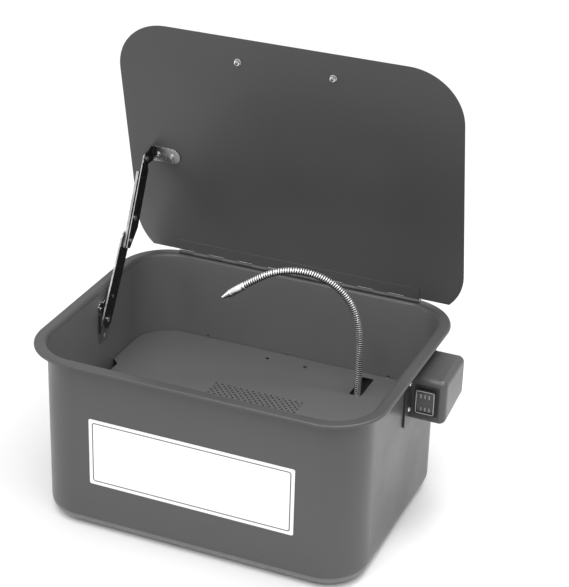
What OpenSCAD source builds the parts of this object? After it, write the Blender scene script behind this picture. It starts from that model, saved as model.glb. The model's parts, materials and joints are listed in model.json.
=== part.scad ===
// Bench-top parts washer tank: a drawn steel tub with a flat rim, a hinged lid on a folding
// stay, a perforated work shelf, a submersible pump with a flexible spout, and a switch box.
// The frame has +X to the right, +Y to the back and +Z up, with its origin at the middle of
// the tub's underside. The lid is drawn open, standing on its stay.

/* [Tank] */
// Width over the rim, left to right
rim_w = 560; // [548:1:600]
// Depth over the rim, front to back
rim_d = 429; // [424:1:440]
// Height of the rim above the bench
tank_h = 290; // [288:1:292]
// Width of the flat rim beyond the walls
rim_flange = 20; // [19:0.5:21]
// Radius of the rim's corners, seen from above
rim_r = 85; // [80:1:90]
// Thickness of the sheet steel
sheet = 1.2; // [1:0.1:1.4]
// Radius between the walls and the floor
floor_r = 25; // [20:1:28]
// Radius where a wall turns out into the rim
rim_bend = 7; // [5:0.5:8]
// Radius of the rim's rolled outer edge
rim_roll = 3; // [2:0.5:3.5]

/* [Lid] */
// Angle between the closed lid and the open one
lid_open = 78.6; // [74:0.1:82]
// Length of the lid panel from the hinge axis to its front edge
lid_len = 418; // [414:1:424]
// Length of the lid's hinge
hinge_len = 416; // [352:32:480]
// Height of the visible hinge leaf
hinge_leaf_h = 22; // [18:1:26]
// Distance between the two bolts of the handle
handle_span = 154; // [130:2:180]
// Distance from the hinge to the handle's bolts
handle_v = 378; // [360:1:390]

/* [Work shelf] */
// Height of the shelf's top face
shelf_z = 150; // [146:1:154]
// Diameter of the drain perforations
perf_d = 4; // [3:0.5:5]
// Pitch of the perforations along a row
perf_pitch = 10.5; // [10:0.1:11]
// Perforations in each row
perf_cols = 15; // [8:1:17]
// Rows of perforations
perf_rows = 23; // [9:2:25]

/* [Spout] */
// Diameter of the flexible spout
hose_d = 9.6; // [8:0.2:10.4]
// Direction in which the spout leans, turned forward from straight left
hose_turn = 20; // [10:1:30]

/* [Switch box] */
// Distance the box stands out from the tub's wall
box_w = 53; // [50:1:60]
// Length of the box, front to back
box_l = 101; // [96:1:102]
// Height of the box
box_h = 74; // [72:1:78]
// Position of the box's front face
box_y = 22; // [18:1:26]
// Height of the box's underside
box_z = 187; // [184:1:190]

/* [Label] */
// Width of the plain label
label_w = 332; // [280:2:340]
// Height of the plain label
label_h = 112; // [90:1:116]

/* [Hidden] */

$fn = 48;
eps = 0.01;
slip = 0.05;            // radial clearance of a pin that turns in a hole

// Colours
paint = "#626466";
lid_paint = "#54575a";
zinc = "#b9bcc0";
chrome = "#d4d7da";
black = "#232427";
white = "#f2f3f4";
brass = "#b9975b";

// Tub
body_w = rim_w - 2 * rim_flange;
body_d = rim_d - 2 * rim_flange;
wall_r = rim_r - rim_flange;
corner_x = body_w / 2 - wall_r;
corner_y = body_d / 2 - wall_r;
inner_x = body_w / 2 - sheet;
inner_y = body_d / 2 - sheet;
rim_drop = rim_roll + 1;

// Hinge, with its axis along X
knuckle_r = 3;
hinge_pin_r = 1.5;
hinge_y = inner_y + 7.3;
hinge_lift = 0.1;
hinge_z = tank_h + knuckle_r + hinge_lift;
hinge_gap = 0.3;
leaf_t = 1.2;
leaf_clear = knuckle_r + 0.3;
knuckle_count = 16;
knuckle_len = hinge_len / knuckle_count;

// Lid, drawn closed about the hinge axis and then opened
lid_t = 1.2;
lid_z = knuckle_r;
lid_back = 24;
lid_cut = 2.5;
lid_r = rim_r;

// Stay, in the plane across X; joints are [y, z] with the lid open
stay_a = [hinge_y - 56.3, hinge_z + 178.9];
stay_k = [hinge_y - 111.1, hinge_z + 58.4];
stay_b = [24, 240];
stay_pin_r = 2.5;
link_t = 2.5;
channel_x = -240.5;      // right-hand face of the upper link
channel_w = 8;
channel_t = 1.5;
channel_front = 8;
channel_back = 18;
channel_tail = 12;
channel_lip = 4;
channel_taper = 34;
link_x = channel_x - channel_w - 0.5;
link_half = 15;
ear_x = channel_x + 0.3;
ear_t = 1.5;

// Spout: base point, then the turning points of its centre line as [along, up]
hose_x = 141.5;
hose_y = 122;
hose_r = hose_d / 2;
hose_bore = 3;
bend_1 = shelf_z + 22;
bend_2 = bend_1 + 25;
bend_3 = bend_2 + 25;
bend_gap = 1.5;
arc_z = 233;            // where the straight riser ends
arc_1 = [180, 19];      // radius and sweep of the first bend
arc_2 = [102, 99];
arc_3 = [330, 6];
collar_r = 5.8;
collar_len = 22;
tip_len = 18;
tip_r = 1.9;

// Pump
pump_x = hose_x - 40;
pump_y = hose_y - 6;
pump_z = sheet + 7;
volute_h = 20;
volute_r = 31;
motor_r = 27;
motor_h = 42;
shaft_r = 2;
outlet_z = 76;
spigot_l = 10;

// Shelf
shelf_t = 1.5;
shelf_gap = 1.5;
slot_x = hose_x - 2.5;
slot_w = 20;
slot_front = hose_y - 5.5;
slot_back = 178;
notch_half = 46;
notch_depth = 14;
notch_slope = 16;

// Switch box
plate_t = 2;
gasket_t = 1;
plate_x = body_w / 2 + gasket_t;
box_x = plate_x + plate_t;
box_t = 2.5;
box_r = 10;
cable_y = 40;
cable_z = 225;
switch_x = 286.3;
switch_z = box_z + 38.7;
bezel_w = 38;
bezel_h = 48;
collar_w = 29;
collar_h = 38;
collar_out = 8;
rocker_w = 21.5;
rocker_h = 29;
key_w = 25.4;
key_h = 33.4;

// Drain
drain_y = -60;
drain_z = 42;

// A rectangle with rounded corners, made from true arcs
module plate_outline(w, d, r) {
  square([w - 2 * r, d], center = true);
  square([w, d - 2 * r], center = true);
  for (x = [-1, 1], y = [-1, 1]) translate([x * (w / 2 - r), y * (d / 2 - r)]) circle(r, $fn = 96);
}

// A box with rounded corners seen along Z
module slab(w, d, h, r) {
  linear_extrude(h) plate_outline(w, d, r);
}

// A quarter ring between two radii, in the quadrant given by the signs
module quarter_ring(outer, inner, sx, sy) {
  intersection() {
    difference() {
      circle(outer, $fn = 96);
      circle(inner, $fn = 96);
    }
    translate([sx > 0 ? 0 : -outer, sy > 0 ? 0 : -outer]) square(outer);
  }
}

// A cylinder along X, from x0 to x1, at [y, z]
module rod_x(x0, x1, at, r) {
  translate([x0, at[0], at[1]]) rotate([0, 90, 0]) cylinder(h = x1 - x0, r = r);
}

// A flat shape given in Y and Z, made into a sheet from x0 to x1
module sheet_x(x0, x1) {
  translate([x0, 0, 0]) rotate([90, 0, 90]) linear_extrude(x1 - x0) children();
}

// How much thicker than the cord the bead at each of its bends is
bead = 0.3;

// A round cord through a list of points, with its beads turned so that their poles lie off the cord
module wire(points, r) {
  for (i = [0 : len(points) - 2]) {
    step = points[i + 1] - points[i];
    length = norm(step);
    translate(points[i]) rotate([0, acos(step[2] / length), atan2(step[1], step[0])])
      cylinder(h = length, r = r);
  }
  for (i = [1 : len(points) - 2]) {
    before = heading(points, i - 1);
    after = heading(points, i);
    outer = (before - after) / norm(before - after);
    pole = cross(before, after) / norm(cross(before, after));
    side = cross(pole, outer);
    multmatrix([for (k = [0 : 2]) [outer[k], side[k], pole[k], points[i][k]]]) sphere(r + bead);
  }
}

// The unit vector from one point of a run to the next
function heading(points, i) = (points[i + 1] - points[i]) / norm(points[i + 1] - points[i]);

// A pan-head rivet or screw standing on the plane z = 0, with its head above it
module fastener(head_r, head_h, shank_r, shank_l) {
  intersection() {
    cylinder(h = head_h, r = head_r);
    translate([0, 0, head_h - 1.6 * head_r]) sphere(1.6 * head_r);
  }
  translate([0, 0, -shank_l]) cylinder(h = shank_l + eps, r = shank_r);
}

// Moves the closed lid's frame, with its origin on the hinge axis, to the open position
module opened() {
  translate([0, hinge_y, hinge_z]) rotate([-lid_open, 0, 0]) children();
}

// ---- Tank ----

// Half section of the tub, from the middle of a corner outwards
module tub_section() {
  roll_x = wall_r + rim_flange - rim_roll;
  square([wall_r - floor_r, sheet]);
  translate([wall_r - floor_r, floor_r]) quarter_ring(floor_r, floor_r - sheet, 1, -1);
  translate([wall_r - sheet, floor_r]) square([sheet, tank_h - sheet - rim_bend - floor_r]);
  translate([wall_r + rim_bend, tank_h - sheet - rim_bend])
    quarter_ring(rim_bend + sheet, rim_bend, -1, 1);
  translate([wall_r + rim_bend, tank_h - sheet]) square([roll_x - wall_r - rim_bend, sheet]);
  translate([roll_x, tank_h - rim_roll]) quarter_ring(rim_roll, rim_roll - sheet, 1, 1);
  translate([wall_r + rim_flange - sheet, tank_h - rim_drop]) square([sheet, rim_drop - rim_roll]);
}

// One straight side of the tub, its outside facing +X, centred on the X axis
module tub_side(length) {
  translate([0, length / 2, 0]) rotate([90, 0, 0]) linear_extrude(length) tub_section();
}

module tub_shell() {
  for (i = [0 : 3]) {
    sx = i == 0 || i == 3 ? 1 : -1;
    sy = i < 2 ? 1 : -1;
    translate([sx * corner_x, sy * corner_y, 0]) rotate(90 * i)
      rotate_extrude(angle = 90, $fn = 128) tub_section();
  }
  for (s = [0, 180]) rotate(s) {
    translate([corner_x, 0, 0]) tub_side(2 * corner_y);
    translate([0, corner_y, 0]) rotate(90) tub_side(2 * corner_x);
  }
  translate([-corner_x, -corner_y, 0]) cube([2 * corner_x, 2 * corner_y, sheet]);
}

module tank_tub() {
  color(paint) difference() {
    tub_shell();
    for (p = bracket_rivet_points) rod_x(-body_w / 2 - 1, -inner_x + 1, p, 2.1);
    for (p = box_screw_points) rod_x(inner_x - 1, body_w / 2 + 1, p, 2.6);
    rod_x(inner_x - 1, body_w / 2 + 1, [cable_y, cable_z], 6);
    rod_x(-body_w / 2 - 1, -inner_x + 1, [drain_y, drain_z], 11);
  }
}

module name_label() {
  color(white) translate([0, -body_d / 2, 139.4]) rotate([90, 0, 0]) slab(label_w, label_h, 0.4, 3);
}

// ---- Work shelf ----

shelf_w = 2 * (inner_x - shelf_gap);
shelf_d = 2 * (inner_y - shelf_gap);
perf_row_step = perf_pitch / 2;

module perforations() {
  for (row = [0 : perf_rows - 1], col = [0 : perf_cols - 1 - row % 2]) {
    x = (col - (perf_cols - 1) / 2 + (row % 2) / 2) * perf_pitch;
    y = (row - (perf_rows - 1) / 2) * perf_row_step;
    translate([x, y, -1]) cylinder(h = shelf_t + 2, r = perf_d / 2, $fn = 16);
  }
}

module hose_slot() {
  translate([slot_x, (slot_front + slot_back) / 2, -1])
    slab(slot_w, slot_back - slot_front, shelf_t + 2, 3);
}

// The outline of a finger notch with sloping ends, in the side given by the sign
module finger_notch(s) {
  out = s * (inner_x + 1);
  in = s * (inner_x - notch_depth);
  far = notch_half + notch_slope;
  polygon([[out, -far], [in, -notch_half], [in, notch_half], [out, far]]);
}

module work_shelf() {
  color(paint) translate([0, 0, shelf_z - shelf_t]) difference() {
    slab(shelf_w, shelf_d, shelf_t, wall_r - sheet - shelf_gap);
    perforations();
    hose_slot();
    for (s = [-1, 1]) {
      translate([0, 0, -1]) linear_extrude(shelf_t + 2) finger_notch(s);
      translate([s * 33, 167.5, -1]) cylinder(h = shelf_t + 2, r = 3.2);
    }
  }
}

// An angle tab with its wall leg in the plane y = 0 and its ledge towards -Y
module support_tab(width) {
  translate([-width / 2, -1.5, -12]) cube([width, 1.5, 12]);
  translate([-width / 2, -14, -1.5]) cube([width, 14, 1.5]);
}

module shelf_supports() {
  color(paint) translate([0, 0, shelf_z - shelf_t]) {
    for (x = [-150, 0, 178]) translate([x, inner_y, 0]) support_tab(30);
    for (x = [-150, 0, 150]) translate([x, -inner_y, 0]) rotate(180) support_tab(30);
    for (y = [-85, 105]) {
      translate([-inner_x, y, 0]) rotate(90) support_tab(30);
      translate([inner_x, y, 0]) rotate(-90) support_tab(30);
    }
  }
}

module shelf_clips() {
  color(zinc) for (x = [-152, -9, 167]) translate([x, inner_y - 0.9, shelf_z]) {
    translate([-1.8, 0, 0]) cube([3.6, 0.9, 4.5]);
    translate([-1.8, -4, 0]) cube([3.6, 4 + eps, 0.9]);
  }
}

// ---- Hinge and lid ----

// A hinge leaf lying below the axis towards +Y, with every second knuckle; lift thickens it below
module hinge_leaf(reach, first, lift) {
  difference() {
    union() {
      translate([-hinge_len / 2, leaf_clear, -knuckle_r - lift])
        cube([hinge_len, reach - leaf_clear, leaf_t + lift]);
      for (i = [first : 2 : knuckle_count - 1]) {
        x = -hinge_len / 2 + i * knuckle_len + hinge_gap / 2;
        translate([x, 0, -knuckle_r - lift])
          cube([knuckle_len - hinge_gap, leaf_clear + eps, leaf_t + lift]);
        rod_x(x, x + knuckle_len - hinge_gap, [0, 0], knuckle_r);
      }
    }
    rod_x(-hinge_len / 2 - 1, hinge_len / 2 + 1, [0, 0], hinge_pin_r + slip);
  }
}

module hinge_tank_leaf() {
  color(paint) translate([0, hinge_y, hinge_z]) hinge_leaf(11, 0, hinge_lift);
}

module hinge_lid_leaf() {
  color(lid_paint) opened() rotate([180, 0, 0]) hinge_leaf(hinge_leaf_h, 1, 0);
}

module hinge_pin() {
  color(zinc) rod_x(-hinge_len / 2 - 1, hinge_len / 2 + 1, [hinge_y, hinge_z], hinge_pin_r);
}

// The flat panel: a rounded rectangle cut straight along the hinge
module lid_panel() {
  depth = lid_len + lid_back;
  color(lid_paint) opened() difference() {
    translate([0, lid_back - depth / 2, lid_z]) slab(rim_w, depth, lid_t, lid_r);
    translate([-rim_w / 2 - 1, -lid_cut, lid_z - 1]) cube([rim_w + 2, lid_back + lid_cut + 1, lid_t + 2]);
    for (s = [-1, 1]) translate([s * handle_span / 2, -handle_v, lid_z - 1])
      cylinder(h = lid_t + 2, r = 2.7);
    for (x = lid_rivet_x) translate([x, -lid_bracket_v, lid_z - 1]) cylinder(h = lid_t + 2, r = 2.1);
  }
}

handle_bar_r = 5;
handle_rise = 34;
handle_bend = 14;

module lid_handle() {
  reach = handle_span / 2;
  color(black) opened() translate([0, -handle_v, lid_z + lid_t]) difference() {
    union() {
      for (s = [0, 180]) rotate(s) {
        translate([reach, 0, 0]) cylinder(h = 2.5, r = 9);
        translate([reach, 0, 0]) cylinder(h = handle_rise - handle_bend, r = handle_bar_r);
        translate([reach - handle_bend, 0, handle_rise - handle_bend]) rotate([90, 0, 0])
          rotate_extrude(angle = 90) translate([handle_bend, 0]) circle(handle_bar_r);
      }
      rod_x(-reach + handle_bend, reach - handle_bend, [0, handle_rise], handle_bar_r);
    }
    for (s = [-1, 1]) translate([s * reach, 0, -1]) cylinder(h = 15, r = 2.55);
  }
}

module at_handle_bolts() {
  for (s = [-1, 1]) opened() translate([s * handle_span / 2, -handle_v, lid_z]) children();
}

module handle_bolts() {
  color(zinc) at_handle_bolts() translate([0, 0, -7.5]) cylinder(h = 19, r = 2.5);
}

module handle_washers() {
  color(zinc) at_handle_bolts() translate([0, 0, -1]) difference() {
    cylinder(h = 1, r = 5.5);
    translate([0, 0, -1]) cylinder(h = 3, r = 2.6);
  }
}

module handle_nuts() {
  color(zinc) at_handle_bolts() translate([0, 0, -5.2]) difference() {
    cylinder(h = 4.2, r = 4.6, $fn = 6);
    translate([0, 0, -1]) cylinder(h = 7, r = 2.5);
  }
}

// ---- Folding stay ----

lid_bracket_t = 1.5;
lid_bracket_v = 184.5;
lid_bracket_w = 27.5;
lid_bracket_end = -204.5;
lid_rivet_x = [-229, -204.5];
// The stay's upper pivot in the closed lid's frame, as [towards the front, below the axis]
stay_lid_v = -(stay_a[0] - hinge_y) * cos(lid_open) + (stay_a[1] - hinge_z) * sin(lid_open);
stay_lid_h = -(stay_a[0] - hinge_y) * sin(lid_open) - (stay_a[1] - hinge_z) * cos(lid_open);
ear_r = 10.5;

module stay_lid_bracket() {
  half = lid_bracket_w / 2;
  ear_top = lid_z;
  color(zinc) opened() difference() {
    union() {
      translate([ear_x, -lid_bracket_v - half, ear_top - lid_bracket_t])
        cube([lid_bracket_end - ear_x, lid_bracket_w, lid_bracket_t]);
      translate([lid_bracket_end, -lid_bracket_v, ear_top - lid_bracket_t])
        cylinder(h = lid_bracket_t, r = half);
      sheet_x(ear_x, ear_x + ear_t) {
        polygon([[-lid_bracket_v - half, ear_top], [-lid_bracket_v + half, ear_top],
          [-stay_lid_v + ear_r, -stay_lid_h], [-stay_lid_v - ear_r, -stay_lid_h]]);
        translate([-stay_lid_v, -stay_lid_h]) circle(ear_r);
      }
    }
    rod_x(ear_x - 1, ear_x + ear_t + 1, [-stay_lid_v, -stay_lid_h], stay_pin_r);
    for (x = lid_rivet_x) translate([x, -lid_bracket_v, 0]) cylinder(h = 5, r = 2.1);
  }
}

module lid_bracket_rivets() {
  color(zinc) for (x = lid_rivet_x) opened() translate([x, -lid_bracket_v, lid_z - lid_bracket_t])
    rotate([180, 0, 0]) fastener(4, 1.8, 2.1, lid_bracket_t + lid_t + 0.8);
}

// Pivot through the ear and the upper link's right-hand flange, fixed in the ear
module stay_lid_pivot() {
  color(chrome) {
    rod_x(channel_x - channel_t - 1.4, ear_x + ear_t + 0.1, stay_a, stay_pin_r);
    rod_x(ear_x + ear_t, ear_x + ear_t + 1.6, stay_a, 4.2);
    rod_x(channel_x - channel_t - 1.6, channel_x - channel_t - 0.3, stay_a, 4.2);
  }
}

// Places a shape drawn along +X, across Y, so that it runs from the first joint to the second
module along_link(from, to) {
  translate(from) rotate(atan2(to[1] - from[1], to[0] - from[0])) children();
}

stay_upper_len = norm(stay_k - stay_a);
stay_lower_len = norm(stay_b - stay_k);
channel_shoulder = 22;
stop_at = stay_k + 37 * (stay_a - stay_k) / stay_upper_len;

channel_len = stay_upper_len + channel_tail;

// One flange of the channel, drawn from the lid pivot, its back towards +Y and its end tapered
module channel_flange() {
  polygon([[0, -channel_front], [channel_len, -channel_front], [channel_len, 3],
    [channel_len - channel_taper, channel_back], [channel_shoulder - 3, channel_back],
    [0, channel_front]]);
  circle(channel_front);
}

module stay_upper_link() {
  left = channel_x - channel_w;
  color(zinc) difference() {
    union() {
      sheet_x(channel_x - channel_t, channel_x) along_link(stay_a, stay_k) channel_flange();
      sheet_x(left, left + channel_t) along_link(stay_a, stay_k) intersection() {
        channel_flange();
        translate([channel_shoulder, -50]) square([200, 100]);
      }
      sheet_x(left, channel_x) along_link(stay_a, stay_k)
        translate([channel_shoulder, channel_back - channel_t])
        square([channel_len - channel_shoulder - channel_taper, channel_t]);
      sheet_x(left, left + channel_lip) along_link(stay_a, stay_k)
        translate([channel_shoulder, -channel_front]) square([channel_len - channel_shoulder, channel_t]);
    }
    rod_x(left - 1, channel_x + 1, stay_a, stay_pin_r + slip);
    rod_x(left - 1, channel_x + 1, stay_k, stay_pin_r);
    rod_x(left - 1, channel_x + 1, stop_at, stay_pin_r);
  }
}

// The upper half of the knee rivet and the stop rivet above it, both fixed in the channel
module stay_channel_rivets() {
  left = channel_x - channel_w;
  color(chrome) for (p = [stay_k, stop_at]) {
    rod_x(left, channel_x + eps, p, stay_pin_r);
    rod_x(channel_x, channel_x + 1.6, p, 4.2);
  }
}

module stay_lower_link() {
  color(zinc) difference() {
    sheet_x(link_x - link_t, link_x) along_link(stay_b, stay_k) {
      translate([0, -link_half]) square([stay_lower_len, 2 * link_half]);
      circle(link_half);
      translate([stay_lower_len, 0]) circle(link_half);
    }
    rod_x(link_x - link_t - 1, link_x + 1, stay_b, stay_pin_r + slip);
    rod_x(link_x - link_t - 1, link_x + 1, stay_k, stay_pin_r);
    rod_x(link_x - link_t - 1, link_x + 1, link_rivet_at, 1.6);
  }
}

link_rivet_at = stay_b + 38 * (stay_k - stay_b) / norm(stay_k - stay_b);

// The lower half of the knee rivet and a small rivet nearer the tank, both fixed in the link
module stay_link_rivets() {
  color(chrome) {
    rod_x(link_x - link_t - 1.4, link_x - link_t, stay_k, 4.2);
    rod_x(link_x - link_t - eps, link_x, stay_k, stay_pin_r);
    rod_x(link_x, link_x + 0.3, link_rivet_at, 2.6);
    rod_x(link_x - link_t, link_x + eps, link_rivet_at, 1.6);
  }
}

bracket_front = stay_b[0] - 13;
bracket_back = stay_b[0] + 14;
bracket_bottom = 200;
bracket_foot = 18;
bracket_ear_top = 252;
bracket_top = 272;
bracket_off = 5.5;
bracket_t = 1.5;
bracket_slope = 8;
bracket_rivet_points = [[stay_b[0] + 5, 208], [stay_b[0] - 6, 259]];

// The bracket's outline in Y and Z, with its upper front corner cut off
module bracket_outline() {
  polygon([[bracket_front, bracket_bottom], [bracket_back, bracket_bottom],
    [bracket_back, bracket_top], [bracket_front + bracket_slope, bracket_top],
    [bracket_front, bracket_top - bracket_slope]]);
}

// A strip of the bracket from one height to another, as a sheet from x0 to x1
module bracket_part(x0, x1, z0, z1) {
  sheet_x(x0, x1) intersection() {
    bracket_outline();
    translate([bracket_front - 1, z0]) square([bracket_back - bracket_front + 2, z1 - z0]);
  }
}

// A bridged plate: its feet lie on the wall and the ear between them carries the pivot. Its top
// edge is folded away from the wall
module stay_tank_bracket() {
  wall = -inner_x;
  ear = wall + bracket_off;
  foot_top = bracket_bottom + bracket_foot;
  color(zinc) difference() {
    union() {
      bracket_part(wall, wall + bracket_t, bracket_bottom - 1, foot_top);
      bracket_part(wall, ear, foot_top - bracket_t, foot_top);
      bracket_part(ear - bracket_t, ear, foot_top - bracket_t, bracket_ear_top);
      bracket_part(wall, ear, bracket_ear_top - bracket_t, bracket_ear_top);
      bracket_part(wall, wall + bracket_t, bracket_ear_top - bracket_t, bracket_top + 1);
      bracket_part(wall, ear, bracket_top - bracket_t, bracket_top + 1);
    }
    rod_x(wall + bracket_t, ear + 1, stay_b, stay_pin_r);
    for (p = bracket_rivet_points) rod_x(wall - 1, wall + bracket_t + 1, p, 2.1);
  }
}

module tank_bracket_rivets() {
  color(chrome) for (p = bracket_rivet_points) translate([-inner_x + bracket_t, p[0], p[1]])
    rotate([0, 90, 0]) fastener(3.8, 1.6, 2.1, bracket_t + sheet + 0.8);
}

module stay_tank_pivot() {
  ear = -inner_x + bracket_off;
  color(chrome) {
    rod_x(ear - bracket_t, link_x + 0.3, stay_b, stay_pin_r);
    rod_x(link_x + 0.2, link_x + 1.7, stay_b, 4.2);
  }
}

// ---- Spout ----

// The spout's own plane: its first coordinate runs away from the base, its second is up
module spout_plane() {
  translate([hose_x, hose_y, 0]) rotate([0, 0, 180 + hose_turn]) rotate([90, 0, 0]) children();
}

// Frame of the straight riser at a height, for round parts about the spout's base
module at_riser(z) {
  translate([hose_x, hose_y, z]) children();
}

module riser_piece(z0, z1) {
  at_riser(z0) difference() {
    cylinder(h = z1 - z0, r = hose_r);
    translate([0, 0, -1]) cylinder(h = z1 - z0 + 2, r = hose_bore);
  }
}

// A bent rod that starts at the origin heading along +Y and turns towards +X
module bend(radius, sweep, r) {
  translate([radius, 0, 0]) rotate([0, 0, 180 - sweep]) rotate_extrude(angle = sweep, $fn = 160)
    translate([radius, 0]) circle(r);
}

// Moves on past a bend
module after(radius, sweep) {
  translate([radius * (1 - cos(sweep)), radius * sin(sweep), 0]) rotate([0, 0, -sweep]) children();
}

module spout_riser() {
  color(chrome) riser_piece(outlet_z - 8 - spigot_l, bend_1 - bend_gap);
}

module spout_lower() {
  color(chrome) riser_piece(bend_1 + bend_gap, bend_2 - bend_gap);
}

module spout_middle() {
  color(chrome) riser_piece(bend_2 + bend_gap, bend_3 - bend_gap);
}

// The upper hose as a rod of radius r, with a slight bead where its curvature changes
module hose_path(r) {
  at_riser(bend_3 + bend_gap) cylinder(h = arc_z - bend_3 - bend_gap, r = r);
  spout_plane() translate([0, arc_z, 0]) {
    sphere(r + 0.2);
    bend(arc_1[0], arc_1[1], r);
    after(arc_1[0], arc_1[1]) {
      sphere(r + 0.2);
      bend(arc_2[0], arc_2[1], r);
      after(arc_2[0], arc_2[1]) {
        sphere(r + 0.2);
        bend(arc_3[0], arc_3[1], r);
      }
    }
  }
}

module spout_arc() {
  color(chrome) difference() {
    hose_path(hose_r);
    hose_path(hose_bore);
  }
}

// Frame of the spout's free end, with +Z along the nozzle
module at_nozzle() {
  spout_plane() translate([0, arc_z, 0]) after(arc_1[0], arc_1[1]) after(arc_2[0], arc_2[1])
    after(arc_3[0], arc_3[1]) rotate([-90, 0, 0]) children();
}

module nozzle_collar() {
  color(chrome) at_nozzle() difference() {
    union() {
      translate([0, 0, -1]) cylinder(h = collar_len, r = collar_r);
      translate([0, 0, -2]) cylinder(h = 2, r = hose_r + 0.5);
    }
    translate([0, 0, -3]) cylinder(h = 3, r = hose_r + slip);
    translate([0, 0, -1]) cylinder(h = collar_len + 2, r = 2.6);
  }
}

module nozzle_tip() {
  color(chrome) at_nozzle() translate([0, 0, collar_len - 1]) difference() {
    rotate_extrude() polygon([[0, 0], [collar_r, 0], [collar_r, 2], [collar_r - 0.6, 3.5],
      [tip_r, tip_len], [0, tip_len]]);
    translate([0, 0, -1]) cylinder(h = tip_len + 2, r = 1.1);
  }
}

module spout_nut() {
  color(brass) at_riser(outlet_z - 8) difference() {
    union() {
      cylinder(h = 9, r = 9.5, $fn = 6);
      translate([0, 0, 9 - eps]) cylinder(h = 5, r = 7);
    }
    translate([0, 0, -1]) cylinder(h = 16, r = hose_r);
  }
}

// ---- Pump ----

module at_pump(z) {
  translate([pump_x, pump_y, z]) children();
}

impeller_r = 20;

module pump_volute() {
  dx = hose_x - pump_x;
  dy = hose_y - pump_y;
  reach = norm([dx, dy]);
  color(black) at_pump(pump_z) difference() {
    union() {
      cylinder(h = volute_h, r = volute_r);
      rotate(atan2(dy, dx)) translate([volute_r - 6, -9, 1])
        cube([reach - volute_r + 6, 18, volute_h - 2]);
      translate([dx, dy, 0.5]) cylinder(h = volute_h - 1, r = 11);
      translate([dx, dy, 0]) cylinder(h = outlet_z - pump_z - 8, r = 7);
    }
    translate([0, 0, 3]) cylinder(h = volute_h - 6, r = impeller_r + 2);
    translate([0, 0, -1]) cylinder(h = 5, r = 9);
    rotate(atan2(dy, dx)) translate([10, -3, 5]) cube([reach - 10, 6, 10]);
    translate([dx, dy, 5]) cylinder(h = 80, r = 4);
    translate([dx, dy, outlet_z - 8 - spigot_l - pump_z]) cylinder(h = 20, r = hose_r + slip);
    translate([0, 0, volute_h - 4]) cylinder(h = 5, r = shaft_r + 0.3);
    translate([-pump_x, -pump_y, -pump_z]) at_pump_screws() translate([0, 0, -8])
      cylinder(h = 9, r = 1);
  }
}

module pump_impeller() {
  color(white) at_pump(pump_z + 4) {
    cylinder(h = 1.5, r = impeller_r);
    cylinder(h = 10, r = 6);
    for (i = [0 : 5]) rotate(60 * i) translate([5, -0.8, 1]) cube([impeller_r - 6, 1.6, 9]);
    translate([0, 0, 9]) cylinder(h = volute_h + 4, r = shaft_r);
  }
}

module pump_motor() {
  color(black) at_pump(pump_z + volute_h) difference() {
    union() {
      cylinder(h = motor_h - 8, r = motor_r);
      translate([0, 0, motor_h - 8 - eps]) rotate_extrude() intersection() {
        translate([motor_r - 8, 0]) circle(8);
        square([motor_r, 8]);
      }
      translate([0, 0, motor_h - 8 - eps]) cylinder(h = 8, r = motor_r - 8);
      for (i = [0 : 7]) rotate(45 * i + 20) translate([motor_r - 1, -1, 3]) cube([2.5, 2, motor_h - 14]);
      translate([-12, 0, motor_h - 2]) cylinder(h = 6, r = 5);
    }
    translate([0, 0, -1]) cylinder(h = volute_h, r = shaft_r + slip);
    translate([-12, 0, motor_h - 4]) cylinder(h = 9, r = 3);
  }
}

module pump_strainer() {
  color(black) at_pump(pump_z - 4) difference() {
    cylinder(h = 4, r = volute_r - 3);
    translate([0, 0, 1.5]) cylinder(h = 3, r = volute_r - 6);
    for (i = [0 : 11]) rotate(30 * i) translate([12, -1.25, -1]) cube([11, 2.5, 4]);
    for (i = [0 : 5]) rotate(60 * i + 15) translate([5, 0, -1]) cylinder(h = 4, r = 1.6);
  }
}

module pump_feet() {
  color(black) for (a = [30, 150, 270]) at_pump(sheet) rotate(a) translate([volute_r - 9, 0, 0]) {
    cylinder(h = 2.95, r = 7);
    cylinder(h = 1.2, r = 8.5);
  }
}

module at_pump_screws() {
  for (a = [42 : 90 : 312]) at_pump(pump_z + volute_h) rotate(a) translate([29.1, 0, 0]) children();
}

module pump_screws() {
  color(zinc) at_pump_screws() fastener(1.8, 1.4, 1, 8);
}

cable_r = 3;
cable_rise = [inner_x - 8.5, 24];

module pump_cable() {
  color(black) wire([[pump_x - 12, pump_y, pump_z + volute_h + motor_h - 3],
    [pump_x - 12, pump_y, 78], [pump_x - 11, pump_y - 9, 94], [pump_x - 8, pump_y - 32, 103],
    [pump_x + 11, pump_y - 64, 106], [150, 34, 106], [226, cable_rise[1], 107],
    [cable_rise[0] - 7, cable_rise[1], 116], [cable_rise[0], cable_rise[1], 131],
    [cable_rise[0], cable_rise[1], 165], [inner_x - 15.6, cable_y - 1.5, cable_z - 20.5],
    [inner_x - 15, cable_y, cable_z - 11.8], [inner_x - 11.5, cable_y, cable_z - 4.8],
    [inner_x - 5.8, cable_y, cable_z], [box_x + 7, cable_y, cable_z]], cable_r);
}

module cable_grommet() {
  color(black) translate([inner_x, cable_y, cable_z]) rotate([0, 90, 0]) difference() {
    union() {
      translate([0, 0, -2]) cylinder(h = 2, r = 9);
      cylinder(h = sheet, r = 6);
    }
    translate([0, 0, -3]) cylinder(h = 6, r = cable_r);
  }
}

// ---- Switch box ----

box_front = box_y;
box_back = box_y + box_l;
plate_front = box_front - 27;
plate_back = box_back + 4;
box_screw_points = [[box_front - 11, box_z + 25], [box_front - 11, box_z + box_h - 6],
  [box_front + box_l / 2, box_z + box_h / 2]];

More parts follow.
